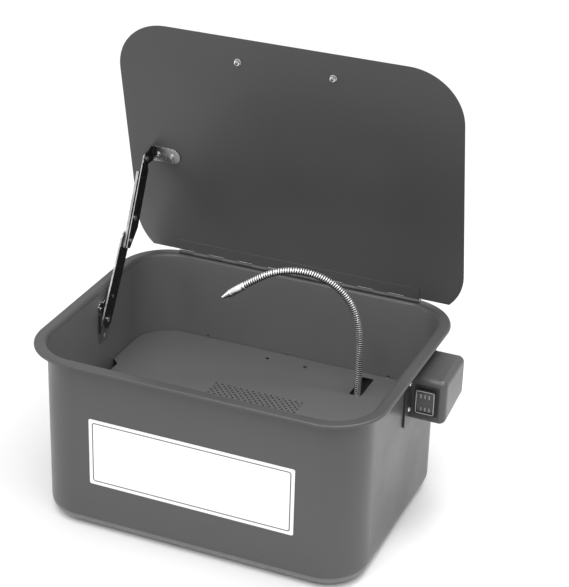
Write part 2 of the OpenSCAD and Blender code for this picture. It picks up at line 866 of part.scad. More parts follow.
// A block whose outer edges, away from the plane x = 0, are all rounded
module rounded_block(w, l, h, r) {
  cube_w = w - r;
  translate([0, r, r]) cube([w, l - 2 * r, h - 2 * r]);
  translate([0, r, 0]) cube([cube_w, l - 2 * r, h]);
  translate([0, 0, r]) cube([cube_w, l, h - 2 * r]);
  for (y = [r, l - r], z = [r, h - r]) {
    rod_x(0, cube_w, [y, z], r);
    translate([cube_w, y, z]) sphere(r);
  }
  for (z = [r, h - r]) translate([cube_w, r, z]) rotate([-90, 0, 0]) cylinder(h = l - 2 * r, r = r);
  for (y = [r, l - r]) translate([cube_w, y, r]) cylinder(h = h - 2 * r, r = r);
}

module box_shell() {
  color(paint) difference() {
    translate([box_x, box_front, box_z]) rounded_block(box_w, box_l, box_h, box_r);
    translate([box_x - 1, box_front + box_t, box_z + box_t])
      rounded_block(box_w - box_t + 1, box_l - 2 * box_t, box_h - 2 * box_t, box_r - box_t);
    translate([switch_x - 12, box_front - 1, switch_z - 16]) cube([24, box_t + 2, 32]);
    translate([cord_x, box_back + 1, cord_z]) rotate([90, 0, 0]) cylinder(h = box_t + 2, r = 6);
  }
}

module plate_sheet(x, thickness, margin) {
  l = plate_back - plate_front - 2 * margin;
  h = box_h + 2 - 2 * margin;
  translate([x, (plate_front + plate_back) / 2, box_z + box_h / 2 - 2]) rotate([90, 0, 90])
    slab(l, h, thickness, 6 - margin);
}

module box_plate() {
  color(black) difference() {
    plate_sheet(plate_x, plate_t, 0);
    for (p = box_screw_points) rod_x(plate_x - 1, box_x + 1, p, 2.5);
    rod_x(plate_x - 1, box_x + 1, [cable_y, cable_z], cable_r);
  }
}

module box_gasket() {
  color(black) difference() {
    plate_sheet(body_w / 2, gasket_t, 1);
    for (p = box_screw_points) rod_x(body_w / 2 - 1, plate_x + 1, p, 2.6);
    rod_x(body_w / 2 - 1, plate_x + 1, [cable_y, cable_z], cable_r);
  }
}

module box_screws() {
  color(chrome) for (p = box_screw_points) translate([box_x, p[0], p[1]]) rotate([0, 90, 0])
    fastener(4.2, 2.4, 2.5, plate_t + gasket_t + sheet + 5);
}

// The front of the switch: X and Z about its middle, with +Y drawn outwards from the box
module at_switch() {
  translate([switch_x, box_front, switch_z]) rotate([90, 0, 0]) children();
}

module switch_bezel() {
  color(black) at_switch() difference() {
    slab(bezel_w, bezel_h, 2.2, 4);
    translate([0, 0, -1]) slab(24.2, 32.2, 5, 1);
  }
}

module switch_collar() {
  color(black) at_switch() translate([0, 0, 2.2]) difference() {
    slab(collar_w, collar_h, collar_out - 2.2, 3);
    translate([0, 0, -1]) slab(collar_w - 2.6, collar_h - 2.6, 20, 1);
  }
}

module switch_body() {
  color(black) at_switch() difference() {
    translate([0, 0, -20]) slab(24, 32, 22.2, 0.8);
    translate([0, 0, -12]) slab(22.2, 29.8, 20, 0.8);
    rod_x(-13, 13, [0, 0], 1.25);
  }
}

rocker_face = 7;
rocker_tilt = 7;

// A tilting key that pivots on a pin along X: a shallow V over its foot, with three ribs at each end
module switch_rocker() {
  color(black) at_switch() rotate([rocker_tilt, 0, 0]) difference() {
    union() {
      across_rocker(rocker_w) polygon([[-rocker_h / 2 + 1.2, -3], [0, -6], [rocker_h / 2 - 1.2, -3],
        [rocker_h / 2 - 0.6, 5], [-rocker_h / 2 + 0.6, 5]]);
      across_rocker(key_w) polygon([[-key_h / 2, key_foot], [key_h / 2, key_foot],
        [key_h / 2, rocker_face], [0, rocker_face - 1.6], [-key_h / 2, rocker_face]]);
      for (s = [-1, 1], x = [-6.5, 0, 6.5]) translate([x - 0.8, s * 11.8 - 3.1, rocker_face - 2.2])
        cube([1.6, 6.2, 2.6]);
    }
    rod_x(-13, 13, [0, 0], 1.25 + slip);
  }
}

key_foot = 4.5;

// An outline across the rocker, drawn out along its pivot to a width
module across_rocker(width) {
  rotate([90, 0, 90]) translate([0, 0, -width / 2]) linear_extrude(width) children();
}

module rocker_pin() {
  color(zinc) at_switch() rod_x(-11.9, 11.9, [0, 0], 1.25);
}

module switch_terminals() {
  color(brass) at_switch() for (x = [-6, 6], y = [-9, 9])
    translate([x - 0.4, y - 3.1, -28]) cube([0.8, 6.2, 8]);
}

module terminal_block() {
  color(white) difference() {
    translate([box_x + 0.1, 74, 203]) cube([18, 30, 14]);
    for (y = [80, 89, 98]) {
      rod_x(box_x - 1, box_x + 12, [y, 210], 1.8);
      translate([box_x + 14, y, 190]) cylinder(h = 30, r = 2.2);
    }
  }
}

// ---- Mains cord ----

cord_x = box_x + 18;
cord_z = box_z + 32;
cord_r = 3.4;
coil_r = 52;
coil_x = 120;
coil_y = body_d / 2 + 9;
coil_z = 150;
coil_turns = 3;
coil_step = 2 * cord_r + 0.4;

module cord_gland() {
  color(black) translate([cord_x, box_back, cord_z]) rotate([-90, 0, 0]) difference() {
    union() {
      translate([0, 0, -box_t]) cylinder(h = box_t + 1, r = 6);
      cylinder(h = 5, r = 8.5, $fn = 6);
      translate([0, 0, 5 - eps]) cylinder(h = 8, r = 5.5);
    }
    translate([0, 0, -5]) cylinder(h = 25, r = cord_r);
  }
}

// The cord leaves the box, rounds the corner under the rim and hangs in a tied coil
module mains_cord() {
  lead_in = coil_r * 0.7071;
  last = coil_y + (coil_turns - 1) * coil_step;
  color(black) {
    wire([[cord_x, box_back - 8, cord_z], [cord_x, box_back + 20, cord_z],
      [corner_x + 52, corner_y + 54, cord_z - 22], [corner_x + 14, last, cord_z - 26],
      [coil_x + lead_in, last, coil_z + lead_in], [coil_x + lead_in - 1, last, coil_z + lead_in]], cord_r);
    for (i = [0 : coil_turns - 1]) translate([coil_x, coil_y + i * coil_step, coil_z])
      rotate([90, 0, 0]) rotate_extrude($fn = 96) translate([coil_r, 0]) circle(cord_r);
    for (a = [70, 190, 310]) translate([coil_x, coil_y, coil_z]) rotate([0, a, 0])
      translate([coil_r, 0, 0]) rotate([-90, 0, 0]) cylinder(h = last - coil_y, r = 1.6);
    wire([[coil_x - lead_in + 1, coil_y, coil_z - lead_in], [coil_x - lead_in, coil_y, coil_z - lead_in],
      [plug_x, coil_y, plug_z + 34], [plug_x, coil_y, plug_z + 4]], cord_r);
  }
}

plug_x = coil_x - coil_r;
plug_z = 60;

module cord_tie() {
  y_mid = coil_y + coil_step;
  color(white) translate([coil_x, y_mid, coil_z + coil_r]) rotate([0, 90, 0]) difference() {
    translate([0, 0, -4]) slab(2 * cord_r + 3.4, coil_step * 2 + 2 * cord_r + 3.4, 8, 5);
    translate([0, 0, -5]) slab(2 * cord_r + 1, coil_step * 2 + 2 * cord_r + 1, 10, 3.8);
  }
}

module mains_plug() {
  color(black) translate([plug_x, coil_y, plug_z]) difference() {
    union() {
      translate([0, 0, -22]) slab(40, 16, 34, 7);
      translate([0, 0, 12 - eps]) cylinder(h = 14, r = 6);
    }
    cylinder(h = 40, r = cord_r);
  }
}

module plug_pins() {
  color(brass) translate([plug_x, coil_y, plug_z - 22]) {
    for (x = [-11, 11]) translate([x - 3.1, -2, -18]) cube([6.2, 4, 18]);
    translate([-2, -4, -22]) cube([4, 8, 22]);
  }
}

// ---- Drain ----

module at_drain() {
  translate([-body_w / 2, drain_y, drain_z]) rotate([0, -90, 0]) children();
}

module drain_bush() {
  color(brass) at_drain() difference() {
    union() {
      cylinder(h = 4, r = 15);
      translate([0, 0, -9]) cylinder(h = 9, r = 10.9);
    }
    translate([0, 0, -10]) cylinder(h = 20, r = 8);
  }
}

module drain_nut() {
  color(brass) at_drain() translate([0, 0, -sheet - 5]) difference() {
    cylinder(h = 5, r = 17, $fn = 6);
    translate([0, 0, -1]) cylinder(h = 7, r = 10.95);
  }
}

module drain_seal() {
  color(black) at_drain() translate([0, 0, 4.05]) difference() {
    cylinder(h = 2, r = 13);
    translate([0, 0, -1]) cylinder(h = 4, r = 8.1);
  }
}

module drain_plug() {
  color(brass) at_drain() difference() {
    union() {
      translate([0, 0, 6.1]) cylinder(h = 7, r = 12, $fn = 6);
      translate([0, 0, -8]) cylinder(h = 14.2, r = 7.95);
    }
    translate([0, 0, -9]) cylinder(h = 12, r = 5);
  }
}

tank_tub();
work_shelf();
shelf_supports();
shelf_clips();
name_label();
hinge_tank_leaf();
hinge_lid_leaf();
hinge_pin();
lid_panel();
lid_handle();
handle_bolts();
handle_washers();
handle_nuts();
stay_lid_bracket();
lid_bracket_rivets();
stay_lid_pivot();
stay_upper_link();
stay_channel_rivets();
stay_lower_link();
stay_link_rivets();
stay_tank_bracket();
tank_bracket_rivets();
stay_tank_pivot();
spout_nut();
spout_riser();
spout_lower();
spout_middle();
spout_arc();
nozzle_collar();
nozzle_tip();
pump_volute();
pump_motor();
pump_impeller();
pump_strainer();
pump_feet();
pump_screws();
pump_cable();
cable_grommet();
box_shell();
box_plate();
box_gasket();
box_screws();
switch_bezel();
switch_collar();
switch_body();
switch_rocker();
rocker_pin();
switch_terminals();
terminal_block();
cord_gland();
mains_cord();
cord_tie();
mains_plug();
plug_pins();
drain_bush();
drain_nut();
drain_seal();
drain_plug();
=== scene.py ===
"""Looks for a bench-top parts washer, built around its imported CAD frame. Lengths are in metres."""

import json
import math

import bmesh
import bpy
from mathutils import Matrix, Vector


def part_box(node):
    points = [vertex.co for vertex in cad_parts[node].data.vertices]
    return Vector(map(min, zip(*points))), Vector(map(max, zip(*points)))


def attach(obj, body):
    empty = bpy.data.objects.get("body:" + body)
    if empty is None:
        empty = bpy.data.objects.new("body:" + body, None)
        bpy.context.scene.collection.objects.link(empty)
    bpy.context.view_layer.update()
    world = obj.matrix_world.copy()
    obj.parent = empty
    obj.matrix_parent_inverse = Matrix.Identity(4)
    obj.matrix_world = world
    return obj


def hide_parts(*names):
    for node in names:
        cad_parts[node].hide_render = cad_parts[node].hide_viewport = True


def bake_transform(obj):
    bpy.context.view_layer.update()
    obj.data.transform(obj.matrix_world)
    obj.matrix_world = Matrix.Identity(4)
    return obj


MM = 0.001
# paler tone painted inside the basin: painted light
BASIN_PAINTED_LIGHT_TONE = 0.148
STAY_STEEL = ("stay_upper_link", "stay_lower_link")
DULL_STEEL = ("hinge_pin", "shelf_clips")

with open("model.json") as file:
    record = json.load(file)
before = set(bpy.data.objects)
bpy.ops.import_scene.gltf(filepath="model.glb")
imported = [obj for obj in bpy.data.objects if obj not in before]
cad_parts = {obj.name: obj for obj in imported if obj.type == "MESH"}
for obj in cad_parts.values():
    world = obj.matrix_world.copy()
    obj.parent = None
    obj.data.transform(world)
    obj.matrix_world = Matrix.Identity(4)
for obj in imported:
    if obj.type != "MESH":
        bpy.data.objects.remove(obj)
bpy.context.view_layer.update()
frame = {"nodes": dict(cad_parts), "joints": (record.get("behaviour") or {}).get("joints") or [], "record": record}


# ---------------------------------------------------------------- materials


class Graph:
    """A node material with short calls for the few nodes the finishes use."""

    def __init__(self, name):
        self.material = bpy.data.materials.new(name)
        self.material.use_nodes = True
        self.tree = self.material.node_tree
        self.shader = self.tree.nodes["Principled BSDF"]
        self.place = self.add("ShaderNodeTexCoord").outputs["Object"]

    @classmethod
    def of(cls, material):
        """The same calls for a material that has been made already."""
        made = cls.__new__(cls)
        made.material, made.tree = material, material.node_tree
        made.shader = made.tree.nodes["Principled BSDF"]
        made.place = made.add("ShaderNodeTexCoord").outputs["Object"]
        return made

    def tint(self, share, colour):
        """Mixes a further colour over the present one."""
        socket = self.shader.inputs["Base Color"]
        self.put(socket, self.mix(share, socket.links[0].from_socket, colour))

    def add(self, kind, inputs=None, **settings):
        made = self.tree.nodes.new(kind)
        for key, value in settings.items():
            setattr(made, key, value)
        for key, value in (inputs or {}).items():
            self.put(made.inputs[key], value)
        return made

    def put(self, socket, value):
        if isinstance(value, bpy.types.NodeSocket):
            self.tree.links.new(value, socket)
        else:
            socket.default_value = value

    def set(self, **inputs):
        for key, value in inputs.items():
            self.put(self.shader.inputs[key.replace("_", " ")], value)

    def stretched(self, scale):
        """Object coordinates scaled by a different amount along each axis."""
        return self.add("ShaderNodeMapping", {"Vector": self.place, "Scale": scale}).outputs[0]

    def noise(self, scale, detail=2.0, place=None, rough=0.5):
        inputs = {"Vector": place or self.place, "Scale": scale, "Detail": detail, "Roughness": rough}
        return self.add("ShaderNodeTexNoise", inputs).outputs["Fac"]

    def math(self, operation, a, b=0.0, c=0.0):
        made = self.add("ShaderNodeMath", operation=operation)
        for socket, value in zip(made.inputs, (a, b, c)):
            self.put(socket, value)
        return made.outputs[0]

    def remap(self, value, low, high, out_low=0.0, out_high=1.0, smooth=True):
        kind = "SMOOTHSTEP" if smooth else "LINEAR"
        made = self.add("ShaderNodeMapRange", interpolation_type=kind)
        for key, v in zip(("Value", "From Min", "From Max", "To Min", "To Max"),
                          (value, low, high, out_low, out_high)):
            self.put(made.inputs[key], v)
        return made.outputs[0]

    def mix(self, share, a, b):
        made = self.add("ShaderNodeMix", data_type="RGBA")
        self.put(made.inputs["Factor"], share)
        self.put(made.inputs["A"], a)
        self.put(made.inputs["B"], b)
        return made.outputs["Result"]

    def rounded(self, radius):
        """A normal that rounds sharp edges over this radius."""
        return self.add("ShaderNodeBevel", {"Radius": radius}, samples=4).outputs[0]

    def edges(self, radius, low, high):
        """How near a point is to a sharp edge, from 0 to 1."""
        flat = self.add("ShaderNodeNewGeometry").outputs["Normal"]
        turn = self.add("ShaderNodeVectorMath", operation="DOT_PRODUCT")
        self.put(turn.inputs[0], flat)
        self.put(turn.inputs[1], self.rounded(radius))
        return self.remap(turn.outputs["Value"], high, low)

    def bump(self, height, distance, strength=1.0, normal=None):
        inputs = {"Height": height, "Distance": distance, "Strength": strength}
        if normal is not None:
            inputs["Normal"] = normal
        return self.add("ShaderNodeBump", inputs).outputs[0]


def grey(value, alpha=1.0):
    return (value, value, value, alpha)


def enamel(name, tone):
    """Stoved enamel on sheet steel: orange peel, faint cloudiness, edges painted lighter, part wear from rubbing
    and part painted highlight.
    """
    g = Graph(name)
    cloud = g.noise(2.3, 3)
    speck = g.noise(520.0, 2)
    base = g.mix(g.remap(cloud, 0.35, 0.65), grey(tone * 0.955), grey(tone * 1.045))
    base = g.mix(g.remap(speck, 0.42, 0.62, 0.0, 0.10), base, grey(tone * 1.5))
    # edges painted lighter: part wear from rubbing, part painted highlight
    rubbed_and_highlit = g.edges(0.9 * MM, 0.80, 0.97)
    rubbed_and_highlit = g.math("MULTIPLY", rubbed_and_highlit, g.remap(g.noise(38.0, 4), 0.45, 0.62, 0.1, 0.5))
    base = g.mix(rubbed_and_highlit, base, grey(min(1.0, tone * 2.2)))
    peel = g.noise(260.0, 2)
    rough = g.remap(g.noise(9.0, 3), 0.3, 0.7, 0.36, 0.47)
    g.set(Base_Color=base, Roughness=rough, Specular_IOR_Level=0.4, Coat_Weight=0.2, Coat_Roughness=0.2)
    g.set(Normal=g.bump(peel, 0.05 * MM, 0.8, g.rounded(0.5 * MM)))
    return g.material


def lid_enamel(name):
    """The lid's enamel, a shaded copy of the tub's: painted a little darker overall as painted shade, painted
    paler near the hinge as painted light, and painted shade towards its free edge and its right side.
    """
    material = enamel(name, 0.057)
    g = Graph.of(material)
    place = g.add("ShaderNodeSeparateXYZ", {0: g.place}).outputs
    # painted light low on the lid near the hinge; painted shade higher up and towards the right
    g.tint(g.remap(place["Z"], 0.29, 0.47, 1.0, 0.0), grey(0.102))
    g.tint(g.remap(place["Z"], 0.50, 0.68, 0.0, 0.9), grey(0.045))
    g.tint(g.remap(place["X"], 0.05, 0.28, 0.0, 0.6), grey(0.045))
    return material


def zinc(name, tone, rough):
    """Bright zinc plate on pressed steel: rolled grain, cloudy patches, and edges painted bright, part burnished
    wear and part painted highlight.
    """
    g = Graph(name)
    grain = g.noise(700.0, 2, g.stretched((1.0, 0.35, 0.05)))
    cloud = g.noise(60.0, 4)
    base = g.mix(g.remap(cloud, 0.35, 0.7), grey(tone * 0.82), grey(tone))
    # edges painted bright: part burnished wear, part painted highlight
    base = g.mix(g.edges(0.6 * MM, 0.75, 0.96), base, grey(0.95))
    shine = g.remap(grain, 0.3, 0.7, rough * 0.75, rough * 1.2)
    shine = g.math("ADD", shine, g.remap(cloud, 0.4, 0.7, 0, 0.08))
    g.set(Base_Color=base, Metallic=1.0, Roughness=shine)
    g.set(Normal=g.bump(grain, 0.02 * MM, 0.5, g.rounded(0.35 * MM)))
    return g.material


def chrome(name, tone=0.9, rough=0.1):
    """Polished plate with handling haze."""
    g = Graph(name)
    haze = g.noise(45.0, 4)
    g.set(Base_Color=g.mix(haze, grey(tone * 0.9), grey(tone)), Metallic=1.0)
    g.set(Roughness=g.remap(haze, 0.35, 0.75, rough, rough + 0.12), Normal=g.rounded(0.25 * MM))
    return g.material


def facing_way(g, axis):
    """One component of the surface's normal, in the scene's axes."""
    normal = g.add("ShaderNodeNewGeometry").outputs["Normal"]
    return g.add("ShaderNodeSeparateXYZ", {0: normal}).outputs[axis]


def painted_reflection_chrome(name, low=-0.34, high=0.3):
    """Bright plate on a wound hose with painted reflection: base colour painted bright where the hose faces up,
    for the lamps above, and dark where it faces down or is seen edge-on, for the dark basin below.
    """
    g = Graph(name)
    haze = g.noise(45.0, 4)
    # painted reflection: paler where the normal faces up, darker at grazing angles
    up = g.remap(facing_way(g, "Z"), low, high)
    rim = g.add("ShaderNodeLayerWeight", {"Blend": 0.5}).outputs["Facing"]
    painted_reflection = g.math("MULTIPLY", up, g.remap(rim, 0.45, 0.85, 1.0, 0.1))
    g.set(Base_Color=g.mix(painted_reflection, grey(0.05), g.mix(haze, grey(0.88), grey(1.0))), Metallic=0.5)
    g.set(Roughness=g.remap(haze, 0.35, 0.75, 0.08, 0.2), Normal=g.rounded(0.2 * MM))
    return g.material


def stay_steel(name, tone):
    """Plated strip: its faces turned to +X painted near-black as painted shade; the rest keeps the zinc's tone and
    edges painted bright.
    """
    material = zinc(name, tone, 0.26)
    g = Graph.of(material)
    # painted shade on the faces turned to +X
    painted_shade = g.remap(facing_way(g, "X"), 0.35, 0.75)
    g.tint(g.math("MULTIPLY", painted_shade, 0.93), grey(0.02))
    return material


def brass(name):
    """Machined brass with dull patches and turning marks."""
    g = Graph(name)
    dull = g.noise(70.0, 4)
    turned = g.noise(900.0, 1, g.stretched((1.0, 0.04, 0.04)))
    base = g.mix(g.remap(dull, 0.35, 0.7), (0.60, 0.42, 0.17, 1), (0.42, 0.29, 0.13, 1))
    g.set(Base_Color=base, Metallic=1.0, Roughness=g.remap(dull, 0.3, 0.7, 0.22, 0.42))
    g.set(Normal=g.bump(turned, 0.02 * MM, 0.6, g.rounded(0.4 * MM)))
    return g.material


def moulded(name, tone, rough=0.42, grain=0.05, edge=0.6):
    """Moulded plastic: fine spark-eroded grain, faint cloudiness, edges painted lighter, part polished wear and
    part painted highlight.
    """
    g = Graph(name)
    texture = g.noise(1500.0, 2)
    cloud = g.noise(25.0, 2)
    base = g.mix(cloud, grey(tone * 0.9), grey(tone * 1.1))
    # edges painted lighter: part polished wear, part painted highlight
    worn_and_highlit = g.edges(0.7 * MM, 0.72, 0.96)
    base = g.mix(g.math("MULTIPLY", worn_and_highlit, edge), base, grey(min(1.0, tone * 3 + 0.05)))
    g.set(Base_Color=base, Roughness=g.remap(cloud, 0.3, 0.7, rough * 0.9, rough * 1.15))
    g.set(Normal=g.bump(texture, grain * MM, 0.5, g.rounded(0.4 * MM)))
    return g.material


def rubber(name, tone):
    """Matt black rubber or PVC with a bloom of dust."""
    g = Graph(name)
    bloom = g.noise(80.0, 5)
    base = g.mix(g.remap(bloom, 0.45, 0.75, 0.0, 0.5), grey(tone), grey(tone * 2.2))
    g.set(Base_Color=base, Roughness=g.remap(bloom, 0.3, 0.7, 0.55, 0.75))
    g.set(Normal=g.bump(g.noise(1100.0, 2), 0.05 * MM, 0.5, g.rounded(0.4 * MM)))
    return g.material


def printed_label(name):
    """White film with a thin dark line, rounded at its corners, inside its edge."""
    low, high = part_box("name_label")
    centre = (low + high) / 2
    half = (high - low) / 2
    inset, round_r, line = 6.2 * MM, 3.5 * MM, 0.8 * MM
    g = Graph(name)
    here = g.add("ShaderNodeVectorMath", {0: g.place, 1: centre}, operation="SUBTRACT").outputs[0]
    away = g.add("ShaderNodeVectorMath", {0: here}, operation="ABSOLUTE").outputs[0]
    core = Vector((half.x - inset - round_r, 10.0, half.z - inset - round_r))
    over = g.add("ShaderNodeVectorMath", {0: away, 1: core}, operation="SUBTRACT").outputs[0]
    kept = g.add("ShaderNodeVectorMath", {0: over, 1: (0, 0, 0)}, operation="MAXIMUM").outputs[0]
    outside = g.add("ShaderNodeVectorMath", {0: kept}, operation="LENGTH").outputs["Value"]
    parts = g.add("ShaderNodeSeparateXYZ", {0: over})
    inside = g.math("MINIMUM", g.math("MAXIMUM", parts.outputs["X"], parts.outputs["Z"]), 0.0)
    edge = g.math("SUBTRACT", g.math("ADD", outside, inside), round_r)
    ink = g.remap(g.math("ABSOLUTE", edge), line * 0.8, line * 1.2, 1.0, 0.0)
    film = g.mix(g.noise(14.0, 3), grey(0.86), grey(0.93))
    g.set(Base_Color=g.mix(ink, film, grey(0.015)), Roughness=g.remap(g.noise(30.0, 3), 0.3, 0.7, 0.3, 0.42))
    g.set(Normal=g.bump(g.noise(55.0, 2), 0.04 * MM, 0.4))
    return g.material


FINISH = {
    "tank_enamel": enamel("tank_enamel", 0.069),
    "lid_enamel": lid_enamel("lid_enamel"),
    "label_white": printed_label("label_white"),
    "zinc_plate": zinc("zinc_plate", 0.62, 0.30),
    "bright_steel": chrome("bright_steel", 0.85, 0.14),
    "spout_chrome": painted_reflection_chrome("spout_chrome"),
    "dark_steel": enamel("dark_steel", 0.03),
    "black_plastic": moulded("black_plastic", 0.012),
    "black_rubber": rubber("black_rubber", 0.012),
    "white_plastic": moulded("white_plastic", 0.7, 0.4, 0.03, 0.2),
    "brass": brass("brass"),
    # near-black finish: painted shade in the hose's grooves
    "groove_steel": rubber("groove_steel", 0.003),
    # paler than the tub's outside: painted light for the shade inside the basin
    "shelf_enamel": enamel("shelf_enamel", 0.123),
    "stay_zinc": stay_steel("stay_zinc", 0.78),
    "lid_bracket_zinc": stay_steel("lid_bracket_zinc", 0.4),
    "pin_steel": zinc("pin_steel", 0.16, 0.40),
}


def switch_frame(g, tilt=0.0):
    """Coordinates of the switch's front in mm: X, up and outwards, after an optional tilt."""
    pivot = next(j for j in frame["joints"] if j["name"] == "switch_tilt")["pos_m"]
    moved = g.add("ShaderNodeVectorMath", {0: g.place, 1: pivot}, operation="SUBTRACT").outputs[0]
    turned = g.add("ShaderNodeVectorRotate", {"Vector": moved, "Angle": -math.radians(90 + tilt)},
                   rotation_type="X_AXIS").outputs[0]
    in_mm = {0: turned, 1: (1 / MM, 1 / MM, 1 / MM)}
    scaled = g.add("ShaderNodeVectorMath", in_mm, operation="MULTIPLY").outputs[0]
    return g.add("ShaderNodeSeparateXYZ", {0: scaled}).outputs


def rocker_plastic():
    """The rocker's dark grey key, with painted highlights on the ribs that stand proud and on its edges."""
    material = moulded("rocker_grey", 0.085, 0.3, 0.02, 0.9)
    g = Graph.of(material)
    _, up, out = switch_frame(g, 7.0)
    valley = g.math("MULTIPLY_ADD", g.math("ABSOLUTE", up), 1.6 / 16.7, 5.4)
    # painted highlight on the ribs that stand proud
    painted_rib_highlight = g.remap(g.math("SUBTRACT", out, valley), 0.12, 0.3)
    g.tint(painted_rib_highlight, grey(0.36))
    return material


def collar_plastic():
    """Black collar with a pale line round its mouth, a painted highlight."""
    material = moulded("collar_black", 0.015, 0.35, 0.03, 0.3)
    g = Graph.of(material)
    _, _, out = switch_frame(g)
    # painted highlight round the collar's mouth
    g.tint(g.remap(out, 7.5, 7.9), grey(0.42))
    return material


def basin_enamel_painted_light():
    """The tub's enamel, painted paler inside the basin as painted light and darker outside it."""
    material = enamel("basin_enamel_painted_light", 0.067)
    g = Graph.of(material)
    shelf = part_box("work_shelf")[1]
    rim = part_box("tank_tub")[1].z
    wall_r, gap = 65.0 * MM, 2.7 * MM
    core = Vector((shelf.x + gap - wall_r, shelf.y + gap - wall_r, 10.0))
    away = g.add("ShaderNodeVectorMath", {0: g.place}, operation="ABSOLUTE").outputs[0]
    over = g.add("ShaderNodeVectorMath", {0: away, 1: core}, operation="SUBTRACT").outputs[0]
    kept = g.add("ShaderNodeVectorMath", {0: over, 1: (0, 0, 0)}, operation="MAXIMUM").outputs[0]
    reach = g.add("ShaderNodeVectorMath", {0: kept}, operation="LENGTH").outputs["Value"]
    height = g.add("ShaderNodeSeparateXYZ", {0: g.place}).outputs["Z"]
    # painted light: the basin's inside, below the rim, painted paler
    inside = g.remap(height, rim - 9 * MM, rim - 3 * MM, 1.0, 0.0)
    inside = g.math("MULTIPLY", inside, g.math("LESS_THAN", reach, wall_r - 0.6 * MM))
    cloud = g.remap(g.noise(4.0, 3), 0.3, 0.7, 0.92, 1.08)
    g.tint(g.math("MULTIPLY", inside, g.math("MULTIPLY", cloud, 0.9)), grey(BASIN_PAINTED_LIGHT_TONE))
    return material


def dress_cad():
    """Gives every CAD node the finish of its material slot."""
    for row in frame["record"]["subparts"]:
        mesh = frame["nodes"][row["node"]].data
        mesh.materials.clear()
        mesh.materials.append(FINISH[row["material_slot"]])
    for node in STAY_STEEL:
        frame["nodes"][node].data.materials[0] = FINISH["stay_zinc"]
    frame["nodes"]["stay_lid_bracket"].data.materials[0] = FINISH["lid_bracket_zinc"]
    frame["nodes"]["stay_tank_bracket"].data.materials[0] = zinc("bracket_zinc", 0.4, 0.3)
    for node in DULL_STEEL:
        frame["nodes"][node].data.materials[0] = FINISH["pin_steel"]
    frame["nodes"]["tank_tub"].data.materials[0] = basin_enamel_painted_light()
    frame["nodes"]["work_shelf"].data.materials[0] = FINISH["shelf_enamel"]
    frame["nodes"]["switch_rocker"].data.materials[0] = rocker_plastic()
    frame["nodes"]["switch_collar"].data.materials[0] = collar_plastic()


# ---------------------------------------------------------------- mesh helpers


def mesh_piece(name, verts, faces, slot, smooth=True):
    mesh = bpy.data.meshes.new(name)
    mesh.from_pydata([tuple(v) for v in verts], [], faces)
    mesh.validate()
    mesh.update()
    mesh.shade_smooth() if smooth else mesh.shade_flat()
    piece = bpy.data.objects.new(name, mesh)
    bpy.context.scene.collection.objects.link(piece)
    mesh.materials.append(FINISH[slot])
    return piece


def ring_faces(rings, around, closed_ends=True):
    """Faces of a tube of rings of vertices, with its ends filled."""
    faces = []
    for i in range(rings - 1):
        a, b = i * around, (i + 1) * around
        for j in range(around):
            k = (j + 1) % around
            faces.append((a + j, a + k, b + k, b + j))
    if closed_ends:
        faces.append(tuple(reversed(range(around))))
        faces.append(tuple(range((rings - 1) * around, rings * around)))
    return faces


def wound_tube(name, stations, radius_at, around, slot):
    """A tube whose radius depends on the turn angle and the distance along it.
    stations are (distance, centre, side, up); radius_at(distance, share of a turn) gives the radius."""
    verts = []
    for along, centre, side, up in stations:
        for j in range(around):
            share = j / around
            turn = 2 * math.pi * share
            r = radius_at(along, share)
            verts.append(centre + r * (math.cos(turn) * side + math.sin(turn) * up))
    return mesh_piece(name, verts, ring_faces(len(stations), around), slot)


def lathe(name, profile, axis_at, direction, slot, around=48):
    """A closed solid of revolution from (along, radius) pairs about a line."""
    direction = Vector(direction).normalized()
    side = direction.orthogonal().normalized()
    up = direction.cross(side)
    stations = [(i, axis_at + direction * along, side, up) for i, (along, _) in enumerate(profile)]
    return wound_tube(name, stations, lambda i, _: max(profile[i][1], 1e-6), around, slot)


# ---------------------------------------------------------------- spout


SPOUT = {
    "base": Vector((141.5, 122.0, 0.0)) * MM,
    "lean": math.radians(20.0),
    "start": 58.0 * MM,
    "straight_to": 233.0 * MM,
    "bends": ((180.0, 19.0), (102.0, 99.0), (330.0, 6.0)),
    "radius": 5.7 * MM,
    "pitch": 3.7 * MM,
    "wire": 1.3 * MM,
    "depth": 1.25 * MM,
    "free": 112.0 * MM,
    "ease": 12.0 * MM,
}


def spout_frames(per_pitch=12):
    """Stations along the spout's centre line, from its spigot to inside the collar."""
    away = Vector((-math.cos(SPOUT["lean"]), -math.sin(SPOUT["lean"]), 0.0))
    up = Vector((0.0, 0.0, 1.0))
    across = away.cross(up)
    step = SPOUT["pitch"] / per_pitch
    centre = SPOUT["base"] + up * SPOUT["start"]
    along, heading = 0.0, math.pi / 2
    frames = []

    def note():
        tangent = away * math.cos(heading) + up * math.sin(heading)
        frames.append((along, centre.copy(), across, across.cross(tangent)))

    runs = [(SPOUT["straight_to"] - SPOUT["start"], 0.0)]
    runs += [(r * MM * math.radians(a), math.radians(a)) for r, a in SPOUT["bends"]]
    note()
    for length, sweep in runs:
        count = max(1, round(length / step))
        for _ in range(count):
            mid = heading - sweep / count / 2
            centre += (away * math.cos(mid) + up * math.sin(mid)) * (length / count)
            heading -= sweep / count
            along += length / count
            note()
    return frames


def wire_radius(along, share):
    """Outside of a round wire wound with a narrow gap, where a second wire lies deeper.
    Below the shelf and in its slot the winding is a little tighter."""
    pitch, wire = SPOUT["pitch"], SPOUT["wire"]
    off = ((along / pitch - share) % 1.0 - 0.5) * pitch
    rise = math.sqrt(max(wire * wire - off * off, 0.0)) - wire
    squeezed = 0.35 * MM * min(1.0, max(0.0, (SPOUT["free"] - along) / SPOUT["ease"]))
    return SPOUT["radius"] - squeezed + max(rise, -SPOUT["depth"])


